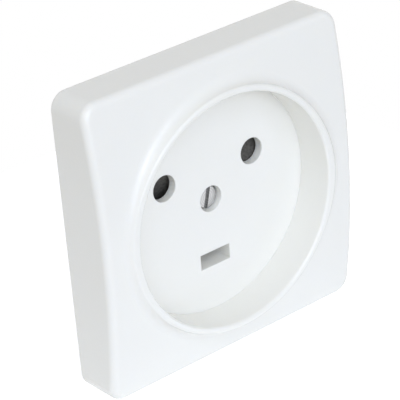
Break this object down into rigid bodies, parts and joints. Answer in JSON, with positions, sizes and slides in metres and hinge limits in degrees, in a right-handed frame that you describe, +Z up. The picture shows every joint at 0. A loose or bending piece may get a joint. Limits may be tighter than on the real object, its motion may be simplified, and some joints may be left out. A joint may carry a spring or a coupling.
{
  "type": "flush wall socket",
  "caption": "Flush-mounted heavy-current wall socket: square crowned white cover with a raised round rim, deep plug recess, shuttered round pin entries, flat earth slot and centre screw.",
  "frame": {"origin": "on the wall plane, at the middle of the cover and of the wall box's screws", "axes": "+X to the right seen from the room, +Y into the wall, +Z up the wall; the front faces -Y"},
  "size_m": [0.082, 0.0374, 0.082],
  "materials": {
    "cover_plastic": "glossy white moulding",
    "shutter_plastic": "satin dark grey moulding",
    "base_plastic": "matt light grey thermoset",
    "screw_steel": "bright zinc plate",
    "spring_steel": "drawn spring steel",
    "strap_steel": "galvanised sheet",
    "rivet_steel": "zinc plated",
    "brass": "rolled brass"
  },
  "bodies": {
    "socket": {"front_cover": "cover_plastic", "cover_screw": "screw_steel", "cover_bush": "brass", "shutter_spring": "spring_steel", "socket_base": "base_plastic", "contact_block": "base_plastic", "back_plate": "base_plastic", "back_plate_screws": "screw_steel", "line_contact": "brass", "neutral_contact": "brass", "earth_contact": "brass", "line_contact_clip": "spring_steel", "neutral_contact_clip": "spring_steel", "line_terminal": "brass", "neutral_terminal": "brass", "earth_terminal": "brass", "line_terminal_screw": "screw_steel", "neutral_terminal_screw": "screw_steel", "earth_terminal_screw": "screw_steel", "mounting_strap": "strap_steel", "strap_rivets": "rivet_steel"},
    "shutter": {"shutter": "shutter_plastic"}
  },
  "joints": [
    {"name": "shutter_turn", "type": "hinge", "parent": "socket", "child": "shutter", "pos_m": [0, 0, 0], "axis": [0, 1, 0], "range_deg": [0, 30.6], "stiffness_Nm_per_rad": 0.033, "springref_deg": -16.04, "deforming": ["shutter_spring"]}
  ]
}
